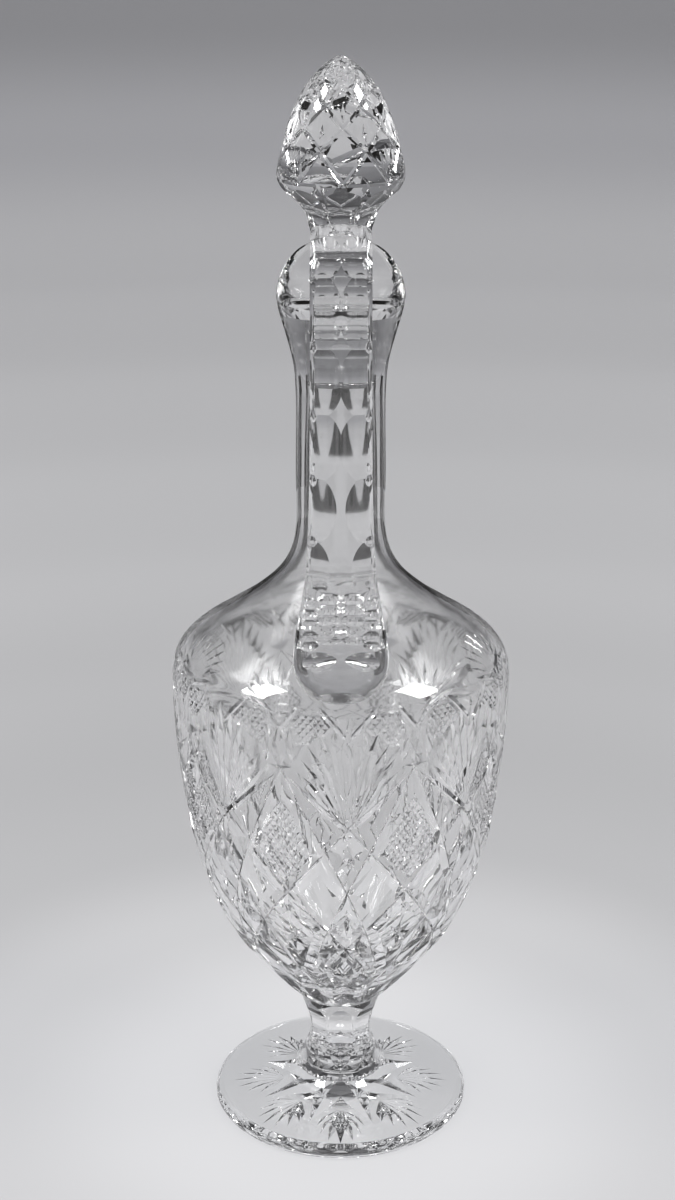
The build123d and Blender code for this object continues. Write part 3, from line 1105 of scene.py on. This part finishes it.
def black_cards():
    """Black cards round the set put their dark lines into the glass. Only the glass shows them."""
    shell = Shell()
    shares = spaced(-1.0, 1.0, 0.25)
    n = len(shares)
    for k in range(SIDES):
        middle = (2 * k + 1) * HALF_SECTOR
        points = []
        for half_turn, height in ((CARD_FOOT, CARD_LIFT), (CARD_TOP, CARD_HEIGHT)):
            points += [ring_point(middle + share * half_turn, CARD_RADIUS / MM, height / MM)
                       for share in shares]
        shell.add(points, [[i, i + 1, n + i + 1, n + i] for i in range(n - 1)])

    def shade(nodes, links, output):
        card = nodes.new("ShaderNodeBsdfDiffuse")
        card.inputs["Color"].default_value = CARD_COLOUR
        links.new(card.outputs["BSDF"], output.inputs["Surface"])

    made = shell.piece("black_cards", stage_material("black_card", shade), sharp=60.0)
    made.visible_camera = False
    made.visible_shadow = False
    made.visible_diffuse = False


ROOM_RADIUS = 2.6
ROOM_HEIGHT = 2.2
ROOM_BEND = 0.9  # radius of the bend between floor and wall
BEND_STEPS = 12
ROOM_SIDES = 96
FLOOR_DROP = 0.0003  # the paper lies this far under the foot


def room():
    """A round sweep of paper: floor, bend and wall, so that it looks the same from every side."""
    flat = ROOM_RADIUS - ROOM_BEND
    line = [(0.0, 0.0), (0.3, 0.0), (0.8, 0.0), (flat, 0.0)]
    for i in range(1, BEND_STEPS + 1):
        turn = math.pi / 2 * i / BEND_STEPS
        line.append((flat + ROOM_BEND * math.sin(turn), ROOM_BEND * (1 - math.cos(turn))))
    line.append((ROOM_RADIUS, ROOM_HEIGHT))
    shell = Shell()
    shell.add_rows([ring(r / MM, (z - FLOOR_DROP) / MM, count=ROOM_SIDES) for r, z in line])
    made = shell.piece("studio_sweep", sweep_material(), sharp=60.0)


def lamp(name, place, target, width, height, power):
    data = bpy.data.lights.new(name, "AREA")
    data.shape = "RECTANGLE"
    data.size, data.size_y = width, height
    data.energy = power
    made = bpy.data.objects.new(name, data)
    made.location = place
    made.rotation_euler = (Vector(target) - Vector(place)).to_track_quat("-Z", "Y").to_euler()
    bpy.context.scene.collection.objects.link(made)
    return made


SOFTBOX_PLACE = (1.0, -0.33, 1.40)
SOFTBOX_AIM = (0, 0, 0.18)
WORLD_TONE = (0.09, 0.09, 0.095, 1)  # what little light comes from beyond the paper


def lights():
    """A softbox on each side of the camera, and a lamp for the backdrop that does not show in the glass."""
    x, y, z = SOFTBOX_PLACE
    for name, place in (("softbox_left", (-x, y, z)), ("softbox_right", (x, y, z))):
        lamp(name, place, SOFTBOX_AIM, width=0.44, height=0.62, power=22)
    backdrop = lamp("backdrop_light", (0, 0.9, 1.9), (0, 2.6, 0.3), width=1.6, height=0.5, power=6)
    backdrop.visible_transmission = False
    backdrop.visible_glossy = False
    world = bpy.data.worlds.new("studio_dark")
    bpy.context.scene.world = world
    world.use_nodes = True
    background = world.node_tree.nodes["Background"]
    background.inputs["Color"].default_value = WORLD_TONE
    background.inputs["Strength"].default_value = 1.0


CAMERA_PLACE = (-0.0011, -0.6602, 0.4277)
CAMERA_PITCH = 19.31  # degrees below level
CAMERA_LENS = 60.28  # millimetres, on a sensor CAMERA_SENSOR wide
CAMERA_SENSOR = 36.0


def camera():
    data = bpy.data.cameras.new("camera")
    data.lens = CAMERA_LENS
    data.sensor_width = CAMERA_SENSOR
    made = bpy.data.objects.new("camera", data)
    made.location = CAMERA_PLACE
    made.rotation_euler = (math.radians(90 - CAMERA_PITCH), 0, 0)
    bpy.context.scene.collection.objects.link(made)
    bpy.context.scene.camera = made


def render_depth():
    """Enough bounces for light to find its way through thick cut glass."""
    cycles = bpy.context.scene.cycles
    cycles.max_bounces = 40
    cycles.transmission_bounces = 36
    cycles.glossy_bounces = 12
    cycles.transparent_max_bounces = 40
    cycles.caustics_reflective = False
    cycles.caustics_refractive = False
    bpy.context.scene.view_settings.view_transform = "Standard"


def build():
    """Each CAD node gets its glass, which rides on the node's body."""
    for node, maker, body in (
        ("foot", foot, "decanter_body"),
        ("stem", stem, "decanter_body"),
        ("vessel", vessel, "decanter_body"),
        ("handle", handle, "decanter_body"),
        ("stopper", stopper, "stopper"),
    ):
        made = maker(crystal("crystal_" + node))
        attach(made, body)
        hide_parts(node)


build()
room()
black_cards()
lights()
camera()
render_depth()
